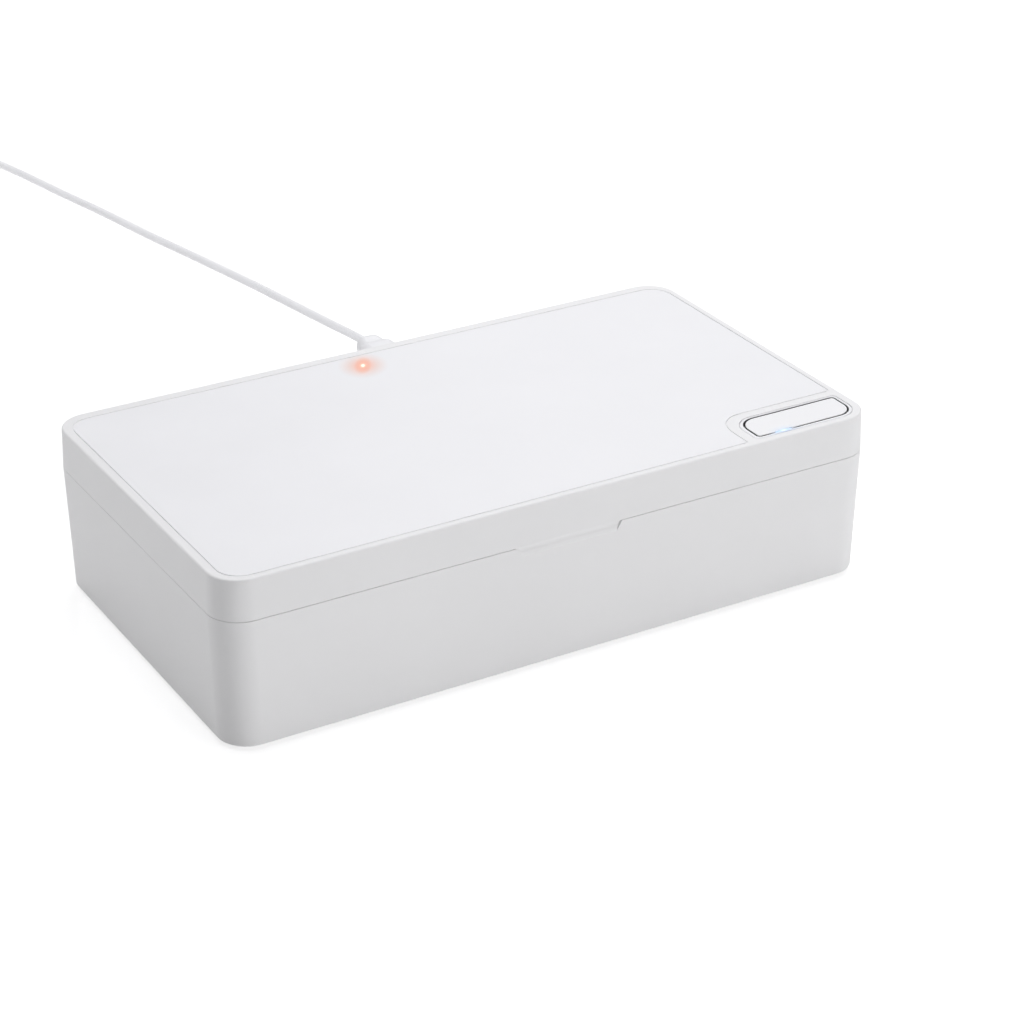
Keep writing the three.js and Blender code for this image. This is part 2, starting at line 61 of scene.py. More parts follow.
# ---------------------------------------------------------------- camera
scene = bpy.context.scene
AZ, EL, ROLL = math.radians(-30.34), math.radians(27.294), math.radians(0.07)
back = Vector((math.sin(AZ) * math.cos(EL), -math.cos(AZ) * math.cos(EL), math.sin(EL)))
right = Vector((math.cos(AZ), math.sin(AZ), 0.0))
up = back.cross(right)
cam_data = bpy.data.cameras.new("Camera")
cam = bpy.data.objects.new("Camera", cam_data)
scene.collection.objects.link(cam)
m = Matrix((right, up, back)).transposed().to_4x4()
m = m @ Matrix.Rotation(ROLL, 4, "Z")
m.translation = Vector(V(-367.76, -657.05, 409.28 + FOOT))
cam.matrix_world = m
cam_data.sensor_width = 36.0
cam_data.lens = 96.165
cam_data.clip_start, cam_data.clip_end = 0.05, 20.0
scene.camera = cam

# ---------------------------------------------------------------- mesh helpers


def rr(x0, x1, y0, y1, r, seg=16):
    pts = []
    q = r if isinstance(r, tuple) else (r, r, r, r)
    for cx, cy, a0, r in ((x1 - q[0], y1 - q[0], 0, q[0]), (x0 + q[1], y1 - q[1], 90, q[1]),
                          (x0 + q[2], y0 + q[2], 180, q[2]), (x1 - q[3], y0 + q[3], 270, q[3])):
        for i in range(seg + 1):
            a = math.radians(a0 + 90.0 * i / seg)
            pts.append((cx + r * math.cos(a), cy + r * math.sin(a)))
    return pts


def rr_in(box, d, seg=16):
    """A rounded rectangle (x0, x1, y0, y1, r) moved in by d."""
    x0, x1, y0, y1, r = box
    r = tuple(max(v - d, 0.02) for v in r) if isinstance(r, tuple) else max(r - d, 0.02)
    return rr(x0 + d, x1 - d, y0 + d, y1 - d, r, seg)


def sym_in(hx, hy, r, dx, dy=None, seg=20):
    dy = dx if dy is None else dy
    return rr(-hx + dx, hx - dx, -hy + dy, hy - dy, max(r - min(dx, dy), 0.02), seg)


def new_obj(name, bm):
    me = bpy.data.meshes.new(name)
    bmesh.ops.recalc_face_normals(bm, faces=bm.faces)
    bm.to_mesh(me)
    bm.free()
    ob = bpy.data.objects.new(name, me)
    scene.collection.objects.link(ob)
    return ob


def loft_bm(layers, bm=None, close=False):
    """layers: list of (points, z) or lists of 3-D points; each ring has the same count. Caps both ends, or joins them when close."""
    bm = bm or bmesh.new()
    rings = []
    for layer in layers:
        if isinstance(layer, tuple):
            pts, z = layer
            rings.append([bm.verts.new(V(x, y, z)) for x, y in pts])
        else:
            rings.append([bm.verts.new(V(*p)) for p in layer])
    n = len(rings[0])
    pairs = list(zip(rings, rings[1:]))
    if close:
        pairs.append((rings[-1], rings[0]))
    for a, b in pairs:
        for i in range(n):
            j = (i + 1) % n
            bm.faces.new((a[i], a[j], b[j], b[i]))
    if not close:
        bm.faces.new(list(reversed(rings[0])))
        bm.faces.new(rings[-1])
    return bm


def fillet(z0, z1, rb=0.0, rt=0.0, n=5, flare=False):
    """(inset, z) pairs up a wall from z0 to z1 with a rounded bottom edge rb and top edge rt."""
    out = []
    if rb:
        for i in range(n + 1):
            a = math.pi / 2 * i / n
            out.append((rb * (1 - math.sin(a)), z0 + rb * (1 - math.cos(a))))
    else:
        out.append((0.0, z0))
    if rt:
        for i in range(n + 1):
            a = math.pi / 2 * i / n
            out.append((rt * (1 - math.cos(a)), z1 - rt + rt * math.sin(a)))
    else:
        out.append((0.0, z1))
    return out


def mouth(z_top, r, n=4):
    """(outset, z) pairs of a cutter's mouth that leaves a lip rounded by r."""
    out = []
    for i in range(n + 1):
        a = math.pi / 2 * i / n
        out.append((r * (1 - math.cos(a)), z_top - r + r * math.sin(a)))
    return out


def cyl_pts(cx, cy, r, seg=48):
    return [(cx + r * math.cos(2 * math.pi * i / seg), cy + r * math.sin(2 * math.pi * i / seg)) for i in range(seg)]


def turned_bm(cx, cy, profile, seg=48, bm=None):
    """profile: (r, z) from the bottom up, not touching the axis; capped flat."""
    return loft_bm([(cyl_pts(cx, cy, max(r, 0.01), seg), z) for r, z in profile], bm)


def along_x(bm_rings_r, x_list, cy, cz, seg=48, bm=None):
    """A turned solid about X: radii at the given x."""
    layers = []
    for r, x in zip(bm_rings_r, x_list):
        layers.append([(x, cy + r * math.cos(2 * math.pi * i / seg), cz + r * math.sin(2 * math.pi * i / seg)) for i in range(seg)])
    return loft_bm(layers, bm)


def loft_y(cx, cz, layers, seg=10, bm=None):
    """Rounded rectangles along Y: layers of (w, h, r, y)."""
    out = []
    for w, h, r, y in layers:
        out.append([(cx + a, y, cz + b) for a, b in rr(-w / 2, w / 2, -h / 2, h / 2, min(r, w / 2 - 0.01, h / 2 - 0.01), seg)])
    return loft_bm(out, bm)


def box_bm(x0, x1, y0, y1, z0, z1, bm=None):
    return loft_bm([([(x1, y1), (x0, y1), (x0, y0), (x1, y0)], z) for z in (z0, z1)], bm)


def applied(ob):
    dg = bpy.context.evaluated_depsgraph_get()
    me = bpy.data.meshes.new_from_object(ob.evaluated_get(dg), preserve_all_data_layers=True, depsgraph=dg)
    old = ob.data
    ob.modifiers.clear()
    ob.data = me
    if old.users == 0:
        bpy.data.meshes.remove(old)


def boolean(ob, op, cutter_bm):
    cutter = new_obj("cutter", cutter_bm)
    mod = ob.modifiers.new("b", "BOOLEAN")
    mod.operation, mod.solver, mod.object = op, "EXACT", cutter
    applied(ob)
    me = cutter.data
    bpy.data.objects.remove(cutter)
    bpy.data.meshes.remove(me)


def finish_shape(ob, angle=34.0, weighted=True):
    bm = bmesh.new()
    bm.from_mesh(ob.data)
    bmesh.ops.remove_doubles(bm, verts=bm.verts, dist=2e-7)
    bmesh.ops.dissolve_degenerate(bm, edges=bm.edges, dist=1e-7)
    bm.to_mesh(ob.data)
    bm.free()
    ob.data.shade_smooth()
    ob.data.set_sharp_from_angle(angle=math.radians(angle))
    if weighted:
        mod = ob.modifiers.new("wn", "WEIGHTED_NORMAL")
        mod.mode, mod.keep_sharp, mod.weight = "FACE_AREA", True, 60
        applied(ob)


def done(ob, material, body, nodes=(), angle=34.0, weighted=True):
    finish_shape(ob, angle, weighted)
    ob.data.materials.clear()
    ob.data.materials.append(material)
    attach(ob, body)
    if nodes:
        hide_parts(*nodes)
    return ob


def panel_pts(o, seg=16):
    """The charging panel's outline moved out by o, notched round the button."""
    x0, x1, y0, y1, r = PANEL[0] - o, PANEL[1] + o, PANEL[2] - o, PANEL[3] + o, PANEL_R + o
    nx, ny, nr, small = 64.3 + o, -40.35 - o, 9.2 - o, 0.8 + o * 0.5
    q = math.pi / 2
    pts = []

    def arc(cx, cy, rad, a0, a1, n):
        for i in range(n + 1):
            a = a0 + (a1 - a0) * i / n
            pts.append((cx + rad * math.cos(a), cy + rad * math.sin(a)))

    arc(x0 + r, y0 + r, r, 2 * q, 3 * q, seg)
    arc(nx - small, y0 + small, small, 3 * q, 4 * q, 6)
    arc(nx + nr, ny - nr, nr, 2 * q, q, seg)
    arc(x1 - small, ny + small, small, 3 * q, 4 * q, 6)
    arc(x1 - r, y1 - r, r, 0, q, seg)
    arc(x0 + r, y1 - r, r, q, 2 * q, seg)
    return pts


# ---------------------------------------------------------------- materials


def nodes_of(name):
    mat = bpy.data.materials.new(name)
    mat.use_nodes = True
    nt = mat.node_tree
    bsdf = next(n for n in nt.nodes if n.type == "BSDF_PRINCIPLED")
    return mat, nt, bsdf


def link(nt, a, b):
    nt.links.new(a, b)


def noise(nt, coord, scale, detail=2.0, rough=0.5):
    n = nt.nodes.new("ShaderNodeTexNoise")
    n.inputs["Scale"].default_value = scale
    n.inputs["Detail"].default_value = detail
    n.inputs["Roughness"].default_value = rough
    link(nt, coord, n.inputs["Vector"])
    return n.outputs["Fac"]


def mrange(nt, value, a, b, c, d, clamp=True, smooth=False):
    n = nt.nodes.new("ShaderNodeMapRange")
    n.clamp = clamp
    if smooth:
        n.interpolation_type = "SMOOTHSTEP"
    n.inputs["From Min"].default_value = a
    n.inputs["From Max"].default_value = b
    n.inputs["To Min"].default_value = c
    n.inputs["To Max"].default_value = d
    link(nt, value, n.inputs["Value"])
    return n.outputs["Result"]


def math_node(nt, op, a, b=None, clamp=False):
    n = nt.nodes.new("ShaderNodeMath")
    n.operation = op
    n.use_clamp = clamp
    for i, v in enumerate((a, b)):
        if v is None:
            continue
        if isinstance(v, (int, float)):
            n.inputs[i].default_value = v
        else:
            link(nt, v, n.inputs[i])
    return n.outputs[0]


def mixcol(nt, fac, a, b):
    n = nt.nodes.new("ShaderNodeMix")
    n.data_type = "RGBA"
    ins = {s.identifier: s for s in n.inputs}
    fac_in, a_in, b_in = ins["Factor_Float"], ins["A_Color"], ins["B_Color"]
    if isinstance(fac, (int, float)):
        fac_in.default_value = fac
    else:
        link(nt, fac, fac_in)
    for s, v in ((a_in, a), (b_in, b)):
        if isinstance(v, tuple):
            s.default_value = (*v, 1.0)
        else:
            link(nt, v, s)
    return next(s for s in n.outputs if s.identifier == "Result_Color")


def bump(nt, height, strength, distance, normal=None):
    n = nt.nodes.new("ShaderNodeBump")
    n.inputs["Strength"].default_value = strength
    n.inputs["Distance"].default_value = distance
    link(nt, height, n.inputs["Height"])
    if normal is not None:
        link(nt, normal, n.inputs["Normal"])
    return n.outputs["Normal"]


def coords(nt):
    return nt.nodes.new("ShaderNodeTexCoord").outputs["Object"]


def plastic(name, color, rough=0.42, grain=2600.0, grain_h=0.000012, strength=0.25, spread=0.012, coat=0.0, spec=0.5, sss=0.0):
    """Moulded plastic: a fine spark-eroded grain, faint flow variation in colour and gloss."""
    mat, nt, b = nodes_of(name)
    co = coords(nt)
    big = noise(nt, co, 24.0, 3.0, 0.55)
    fine = noise(nt, co, grain, 2.0, 0.5)
    lo = tuple(c * (1 - spread) for c in color)
    hi = tuple(min(1.0, c * (1 + spread)) for c in color)
    col = mixcol(nt, mrange(nt, big, 0.3, 0.7, 0.0, 1.0), lo, hi)
    link(nt, col, b.inputs["Base Color"])
    r = math_node(nt, "ADD", mrange(nt, big, 0.3, 0.7, -0.03, 0.03), mrange(nt, fine, 0.3, 0.7, rough - 0.035, rough + 0.035))
    link(nt, r, b.inputs["Roughness"])
    link(nt, bump(nt, fine, strength, grain_h), b.inputs["Normal"])
    b.inputs["Specular IOR Level"].default_value = spec
    b.inputs["IOR"].default_value = 1.5
    b.inputs["Coat Weight"].default_value = coat
    if sss:
        b.inputs["Subsurface Weight"].default_value = sss
        b.inputs["Subsurface Radius"].default_value = (0.002, 0.002, 0.002)
        b.inputs["Subsurface Scale"].default_value = 0.5
    return mat


def add_glow(mat, centre, colour_in, colour_out, core, halo, s_core, s_halo, squash=(1, 1, 1)):
    """Light from a lamp under or beside the surface: a small bright core and a soft halo round a fixed point of the part."""
    nt = mat.node_tree
    b = next(n for n in nt.nodes if n.type == "BSDF_PRINCIPLED")
    co = coords(nt)
    sub = nt.nodes.new("ShaderNodeVectorMath")
    sub.operation = "SUBTRACT"
    link(nt, co, sub.inputs[0])
    sub.inputs[1].default_value = V(*centre)
    mul = nt.nodes.new("ShaderNodeVectorMath")
    mul.operation = "MULTIPLY"
    link(nt, sub.outputs[0], mul.inputs[0])
    mul.inputs[1].default_value = squash
    ln = nt.nodes.new("ShaderNodeVectorMath")
    ln.operation = "LENGTH"
    link(nt, mul.outputs[0], ln.inputs[0])
    d = ln.outputs["Value"]
    near = mrange(nt, d, core * 0.4 / 1000, core / 1000, 1.0, 0.0, smooth=True)
    u = mrange(nt, d, 0.0, halo / 1000, 1.0, 0.0)
    far = math_node(nt, "POWER", u, 3.0)
    col = mixcol(nt, near, colour_out, colour_in)
    link(nt, col, b.inputs["Emission Color"])
    e = math_node(nt, "ADD", math_node(nt, "MULTIPLY", near, s_core), math_node(nt, "MULTIPLY", far, s_halo))
    link(nt, e, b.inputs["Emission Strength"])
    return mat


def metal(name, color, rough=0.25, brush=(1, 1, 1), scratch=0.15, scale=900.0):
    mat, nt, b = nodes_of(name)
    co = coords(nt)
    mp = nt.nodes.new("ShaderNodeMapping")
    mp.inputs["Scale"].default_value = brush
    link(nt, co, mp.inputs["Vector"])
    fine = noise(nt, mp.outputs["Vector"], scale, 3.0, 0.6)
    big = noise(nt, co, 60.0, 2.0, 0.5)
    col = mixcol(nt, mrange(nt, big, 0.3, 0.7, 0.0, 1.0), tuple(c * 0.94 for c in color), color)
    link(nt, col, b.inputs["Base Color"])
    b.inputs["Metallic"].default_value = 1.0
    r = math_node(nt, "ADD", mrange(nt, fine, 0.3, 0.7, rough - 0.05, rough + 0.07), mrange(nt, big, 0.3, 0.7, -0.02, 0.03))
    link(nt, r, b.inputs["Roughness"])
    link(nt, bump(nt, fine, scratch, 0.00002), b.inputs["Normal"])
    return mat


def rubber(name, color, rough=0.62):
    mat, nt, b = nodes_of(name)
    co = coords(nt)
    fine = noise(nt, co, 1800.0, 3.0, 0.6)
    big = noise(nt, co, 90.0, 2.0, 0.5)
    col = mixcol(nt, mrange(nt, big, 0.3, 0.7, 0.0, 1.0), tuple(c * 0.93 for c in color), color)
    link(nt, col, b.inputs["Base Color"])
    link(nt, mrange(nt, fine, 0.3, 0.7, rough - 0.06, rough + 0.08), b.inputs["Roughness"])
    link(nt, bump(nt, fine, 0.3, 0.00003), b.inputs["Normal"])
    b.inputs["Specular IOR Level"].default_value = 0.35
    return mat


SHELL = (0.862, 0.860, 0.868)
M_shell = plastic("white_shell_plastic", SHELL, rough=0.38, sss=0.0)
M_panel = plastic("white_panel_plastic", (0.885, 0.885, 0.905), rough=0.40)
M_frame = plastic("white_frame_plastic", (0.885, 0.885, 0.905), rough=0.30, strength=0.12)
M_button = plastic("white_button_plastic", (0.89, 0.89, 0.905), rough=0.36, strength=0.06)
M_plug = plastic("white_plug_plastic", (0.905, 0.905, 0.925), rough=0.33, strength=0.12)
M_cord = plastic("white_cord_jacket", (0.965, 0.965, 0.985), rough=0.30, strength=0.08, spread=0.012)
M_steel = metal("bright_steel", (0.72, 0.72, 0.74), 0.22)
M_pin = metal("turned_steel", (0.66, 0.66, 0.68), 0.28, brush=(0.15, 1, 1))
M_mirror = metal("metallised_lining", (0.86, 0.87, 0.89), 0.17, scratch=0.02, scale=420.0)
M_rubber = rubber("grey_silicone", (0.55, 0.55, 0.57))
M_feet = rubber("foot_silicone", (0.62, 0.62, 0.64))
M_tie = rubber("tie_silicone", (0.70, 0.70, 0.73))
M_black = plastic("black_plastic", (0.022, 0.022, 0.025), rough=0.45, spread=0.1)
M_board = plastic("green_solder_mask", (0.02, 0.14, 0.06), rough=0.30, spread=0.12, grain=900.0)
M_whiteboard = plastic("white_solder_mask", (0.80, 0.80, 0.79), rough=0.35, spread=0.03)
M_ceramic = plastic("led_ceramic", (0.82, 0.78, 0.60), rough=0.3, spread=0.03)
M_ferrite = plastic("ferrite", (0.035, 0.035, 0.04), rough=0.6, spread=0.15)
M_copper = metal("enamelled_copper", (0.80, 0.36, 0.16), 0.3, scale=2000.0)
M_magnet = metal("nickel_plate", (0.70, 0.68, 0.64), 0.16)



def dot(nt, vec, axis):
    n = nt.nodes.new("ShaderNodeVectorMath")
    n.operation = "DOT_PRODUCT"
    link(nt, vec, n.inputs[0])
    n.inputs[1].default_value = axis
    return n.outputs["Value"]


def base_colour(nt, b):
    return b.inputs["Base Color"].links[0].from_socket


def glow_disc(mat, centre, reach, disc, core, tint, warm, white, warm_s, core_s, squeeze=0.55):
    """Painted light of a lamp shining through the moulding: a disc tinted by its light with a soft edge, a painted warm
    bloom over it and a small bright painted core.
    """
    nt = mat.node_tree
    b = next(n for n in nt.nodes if n.type == "BSDF_PRINCIPLED")
    sub = nt.nodes.new("ShaderNodeVectorMath")
    sub.operation = "SUBTRACT"
    link(nt, coords(nt), sub.inputs[0])
    sub.inputs[1].default_value = V(*centre)
    p = sub.outputs[0]
    h, v = dot(nt, p, (0.8646, -0.5024, 0)), dot(nt, p, (0.506, 0.862, 0))

    def length(a, c):
        return math_node(nt, "POWER", math_node(nt, "ADD", math_node(nt, "MULTIPLY", a, a), math_node(nt, "MULTIPLY", c, c)), 0.5)

    far = length(h, math_node(nt, "MULTIPLY", v, 0.82))
    near = length(h, math_node(nt, "MULTIPLY", v, squeeze))
    ring = mrange(nt, near, disc * 0.45 / 1000, disc * 1.35 / 1000, 1.0, 0.0, smooth=True)
    halo = math_node(nt, "POWER", mrange(nt, far, 0.0, reach / 1000, 1.0, 0.0), 1.4)
    # painted lamp light: the orange tint that the lamp's light gives the disc and its halo
    painted_lamp_tint = math_node(nt, "MAXIMUM", math_node(nt, "MULTIPLY", ring, 0.97), math_node(nt, "MULTIPLY", halo, 1.15), clamp=True)
    base = base_colour(nt, b)
    link(nt, mixcol(nt, painted_lamp_tint, base, tint), b.inputs["Base Color"])
    spot = mrange(nt, near, core * 0.15 / 1000, core * 1.7 / 1000, 1.0, 0.0, smooth=True)
    link(nt, mixcol(nt, spot, warm, white), b.inputs["Emission Color"])
    e = math_node(nt, "ADD", math_node(nt, "MULTIPLY", spot, core_s), math_node(nt, "MULTIPLY", ring, warm_s))
    link(nt, e, b.inputs["Emission Strength"])


def from_point(nt, centre, squash=(1, 1, 1)):
    """Distance in metres from a fixed point of the part."""
    sub = nt.nodes.new("ShaderNodeVectorMath")
    sub.operation = "SUBTRACT"
    link(nt, coords(nt), sub.inputs[0])
    sub.inputs[1].default_value = V(*centre)
    mul = nt.nodes.new("ShaderNodeVectorMath")
    mul.operation = "MULTIPLY"
    link(nt, sub.outputs[0], mul.inputs[0])
    mul.inputs[1].default_value = squash
    ln = nt.nodes.new("ShaderNodeVectorMath")
    ln.operation = "LENGTH"
    link(nt, mul.outputs[0], ln.inputs[0])
    return ln.outputs["Value"]


def painted_lamp_tint(mat, centre, reach, tint, amount, squash=(1, 1, 1)):
    """Painted lamp light: the colour that a lamp casts on the surface beside it, painted into the base colour."""
    nt = mat.node_tree
    b = next(n for n in nt.nodes if n.type == "BSDF_PRINCIPLED")
    t = mrange(nt, from_point(nt, centre, squash), 0.0, reach / 1000, amount, 0.0, smooth=True)
    link(nt, mixcol(nt, t, base_colour(nt, b), tint), b.inputs["Base Color"])


def shade_below(mat, z0, z1, colour, box=None, lit=None):
    """Painted shade: the walls of the gap round the button are painted dark below the rim, less beside the lamp."""
    nt = mat.node_tree
    b = next(n for n in nt.nodes if n.type == "BSDF_PRINCIPLED")
    sep = nt.nodes.new("ShaderNodeSeparateXYZ")
    link(nt, coords(nt), sep.inputs[0])
    t = mrange(nt, sep.outputs["Z"], z0 / 1000, z1 / 1000, 1.0, 0.0)
    if box:
        x0, x1, y0, y1 = box
        for out, a, c in (("X", x0, x1), ("Y", y0 + SHIFT_Y, y1 + SHIFT_Y)):
            t = math_node(nt, "MULTIPLY", t, math_node(nt, "GREATER_THAN", sep.outputs[out], a / 1000))
            t = math_node(nt, "MULTIPLY", t, math_node(nt, "LESS_THAN", sep.outputs[out], c / 1000))
    if lit:
        t = math_node(nt, "MULTIPLY", t, mrange(nt, from_point(nt, lit), 0.0032, 0.0058, 0.12, 1.0, smooth=True))
    link(nt, mixcol(nt, t, base_colour(nt, b), colour), b.inputs["Base Color"])


# painted light: the orange charge lamp's glow is painted into the panel's colour and emission
glow_disc(M_panel, (LAMP[0] + 0.37, LAMP[1] + 0.40, TOP), 8.4, 3.5, 0.75, (0.885, 0.50, 0.375), (1.0, 0.10, 0.02), (1.0, 0.88, 0.78), 0.075, 0.8, 0.54)
# painted shade in the gap round the button, on the button's and the frame's walls
shade_below(M_button, TOP - 0.32, TOP - 0.16, (0.05, 0.05, 0.055), lit=(BLUE[0], BLUE[1], TOP))
shade_below(M_frame, TOP - 0.34, TOP - 0.20, (0.05, 0.05, 0.055), (BZI[0] - 0.04, BZI[1] + 0.04, BZI[2] - 0.04, BZI[3] + 0.04), lit=(BLUE[0], BLUE[1], TOP))
# painted light: the blue lamp's bluish cast painted on the frame and the button
painted_lamp_tint(M_frame, (BLUE[0], BLUE[1] - 0.6, TOP), 6.0, (0.60, 0.68, 0.84), 0.85, (0.8, 1.2, 1))
painted_lamp_tint(M_button, (BLUE[0], BLUE[1] + 0.2, TOP), 5.0, (0.72, 0.80, 0.90), 0.6, (0.8, 1.6, 1))
# painted light: the blue lamp's glow painted as emission on the button and the frame
add_glow(M_button, (BLUE[0], BLUE[1] + 0.2, TOP), (0.55, 0.86, 1.0), (0.34, 0.58, 1.0), 0.9, 6.0, 0.05, 0.08, (0.8, 1.0, 1))
add_glow(M_frame, (BLUE[0], BLUE[1] - 0.6, TOP), (0.45, 0.80, 1.0), (0.45, 0.60, 1.0), 0.9, 8.0, 0.02, 0.06, (0.8, 1.8, 1))


def glass(name):
    mat, nt, b = nodes_of(name)
    co = coords(nt)
    n = noise(nt, co, 400.0, 2.0, 0.5)
    link(nt, mixcol(nt, n, (0.96, 0.98, 1.0), (1.0, 1.0, 1.0)), b.inputs["Base Color"])
    link(nt, mrange(nt, n, 0.3, 0.7, 0.02, 0.05), b.inputs["Roughness"])
    b.inputs["Transmission Weight"].default_value = 1.0
    b.inputs["IOR"].default_value = 1.46
    return mat


def lamp(name, colour, strength):
    mat, nt, b = nodes_of(name)
    co = coords(nt)
    n = noise(nt, co, 300.0, 2.0, 0.5)
    link(nt, mixcol(nt, n, tuple(c * 0.9 for c in colour), colour), b.inputs["Base Color"])
    link(nt, mixcol(nt, n, tuple(c * 0.9 for c in colour), colour), b.inputs["Emission Color"])
    b.inputs["Emission Strength"].default_value = strength
    link(nt, mrange(nt, n, 0.3, 0.7, 0.15, 0.25), b.inputs["Roughness"])
    return mat


M_quartz = glass("quartz")
M_blue = lamp("blue_light_guide", (0.40, 0.58, 0.78), 0.0)
add_glow(M_blue, (BLUE[0], BLUE[1], TOP - 0.3), (0.78, 0.92, 0.98), (0.64, 0.77, 0.92), 1.2, 30.0, 0.16, 0.84)
M_orange = lamp("orange_light_pipe", (1.0, 0.55, 0.38), 2.0)

# ---------------------------------------------------------------- the cord
RUN = [
    (18.07, 100.0, 37.0), (18.0, 104.5, 36.75), (17.8, 110, 36.3), (17.1, 117.5, 35.8), (15.0, 144.2, 33.9), (12.4, 179.6, 31.3),
    (9.3, 216.5, 28.3), (5.9, 255, 25.1), (2.6, 296.8, 21.9), (-0.5, 331.4, 19.0), (-3.5, 368.2, 16.0),
    (-6.2, 398, 13.1), (-8.2, 420, 10.3), (-10, 438, 7.4), (-11.7, 454, 4.7), (-13.1, 468, 2.7), (-14.2, 480, 1.75),
    (-15.1, 490, 1.52), (-15.8, 502, 1.52), (-16.2, 519, 1.52),
]
COIL = (-16.2 - 21.2, 531.7)


def cord_points():
    pts = list(RUN)
    n = 24

    def at(turn, r, z):
        a = 2 * math.pi * turn
        near = math.remainder(turn - 0.25, 1.0) * 2 * math.pi * r   # distance along the turn from the tie
        z += 0.85 * math.exp(-((near / 8.0) ** 2))
        pts.append((COIL[0] + r * math.cos(a), COIL[1] + r * math.sin(a), z))

    z1, z2 = 1.52, 4.62
    for i in range(0, 3 * n + 1):                 # three turns inwards on the floor
        t = i / n
        at(t, 21.2 - 3.1 * t, z1)
    for i in range(1, n + 1):                     # one turn up on to them
        t = i / n
        zz = z1 + (z2 - z1) * min(1.0, math.sin(min(t / 0.62, 1.0) * math.pi / 2))
        at(3 + t, 11.9 + 0.9 * t * t, zz)
    for i in range(1, int(1.5 * n) + 1):          # a turn and a half outwards on top
        t = i / n
        at(4 + t, 12.8 + 3.1 * t, z2)
    x = COIL[0] - 17.45
    for dy, z in ((6, 4.62), (12, 4.62), (18, 4.58), (24, 4.35), (30.5, 4.1)):
        pts.append((x, COIL[1] - dy, z))
    return pts


CORD = cord_points()
cu = bpy.data.curves.new("Power_cord", "CURVE")
cu.dimensions = "3D"
cu.resolution_u = 6
cu.bevel_depth = CORD_R / 1000.0
cu.bevel_resolution = 6
cu.use_fill_caps = True
sp = cu.splines.new("BEZIER")
sp.bezier_points.add(len(CORD) - 1)
for bp, p in zip(sp.bezier_points, CORD):
    bp.co = V(*p)
    bp.handle_left_type = bp.handle_right_type = "AUTO"
cord = bpy.data.objects.new("Power_cord", cu)
scene.collection.objects.link(cord)
cu.materials.append(M_cord)
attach(cord, "power_cord")
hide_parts("cord_run", "cord_coil", "cord_tail")

# plugs and what is on the cord
g = new_obj("Usb_plug_grip", loft_y(*PORT, [
    (11.6, 6.0, 2.6, 61.4), (12.3, 6.7, 2.9, 61.5), (12.8, 7.2, 3.15, 61.85), (13.0, 7.4, 3.25, 62.5),
    (13.0, 7.4, 3.25, 75), (13.0, 7.4, 3.25, 90.6), (12.93, 7.36, 3.22, 91.3), (12.7, 7.25, 3.15, 92.0), (12.3, 7.0, 3.05, 92.6),
    (11.8, 6.7, 2.95, 93.1), (11.2, 6.4, 2.8, 93.45), (10.6, 6.15, 2.65, 93.65), (10.2, 6.0, 2.6, 93.7)], 12))
boolean(g, "DIFFERENCE", loft_y(*PORT, [(8.9, 3.1, 1.5, 60), (8.9, 3.1, 1.5, 62.9)], 8))
done(g, M_plug, "power_cord", ["usb_plug_grip"])
s = new_obj("Usb_plug_shell", loft_y(*PORT, [(8.0, 2.2, 1.05, 54.0), (8.25, 2.45, 1.2, 54.2), (8.25, 2.45, 1.2, 62.6)], 8))
boolean(s, "DIFFERENCE", loft_y(*PORT, [(7.5, 1.8, 0.85, 53), (7.4, 1.7, 0.8, 54.15), (7.4, 1.7, 0.8, 61)], 8))
done(s, M_steel, "power_cord", ["usb_plug_shell"])
sr = new_obj("Cord_strain_relief", loft_y(*PORT, [
    (9.3, 5.75, 2.6, 93.76), (9.4, 5.85, 2.65, 94.2), (9.5, 6.15, 2.8, 95.5), (9.5, 6.4, 2.95, 97.0), (9.2, 6.35, 3.0, 98.0),
    (8.5, 6.0, 2.8, 98.8), (7.5, 5.4, 2.55, 99.3), (6.2, 4.6, 2.2, 99.6), (5.0, 4.0, 1.9, 99.7)], 12))
done(sr, M_plug, "power_cord", ["cord_strain_relief"])
TX, TZ, AY = COIL[0] - 17.45, 4.1, COIL[1] - 30.8
a1 = new_obj("Usb_a_strain_relief", loft_y(TX, TZ, [
    (7.2, 5.4, 2.4, AY - 7.6), (7.4, 5.6, 2.5, AY - 7.4), (6.4, 5.2, 2.35, AY - 4), (5.6, 4.8, 2.2, AY - 0.9), (5.1, 4.4, 2.0, AY - 0.2), (4.4, 3.8, 1.8, AY)], 12))
done(a1, M_plug, "power_cord", ["usb_a_strain_relief"])
a2 = new_obj("Usb_a_plug_grip", loft_y(TX, TZ, [
    (14.6, 6.8, 1.5, AY - 31), (15.2, 7.4, 1.7, AY - 30.9), (15.6, 7.8, 1.9, AY - 30.3), (15.6, 7.8, 1.9, AY - 10.2),
    (15.3, 7.6, 1.9, AY - 9.2), (14.4, 7.2, 1.9, AY - 8.4), (13.0, 6.7, 1.8, AY - 8.0), (11.6, 6.1, 1.7, AY - 7.9)], 10))
boolean(a2, "DIFFERENCE", box_bm(TX - 6.4, TX + 6.4, AY - 32, AY - 29, TZ - 2.65, TZ + 2.65))
done(a2, M_plug, "power_cord", ["usb_a_plug_grip"])
a3 = new_obj("Usb_a_plug_shell", loft_y(TX, TZ, [(11.8, 4.3, 0.4, AY - 42.5), (12.0, 4.5, 0.5, AY - 42.3), (12.0, 4.5, 0.5, AY - 29.4)], 4))
boolean(a3, "DIFFERENCE", loft_y(TX, TZ, [(11.5, 4.0, 0.35, AY - 44), (11.4, 3.9, 0.35, AY - 42.3), (11.4, 3.9, 0.35, AY - 31)], 4))
holes = None
for dx in (-3.0, 3.0):
    for dz in (-2.25, 2.25):
        holes = box_bm(TX + dx - 1.1, TX + dx + 1.1, AY - 38.2, AY - 36.0, TZ + dz - 0.6, TZ + dz + 0.6, holes)
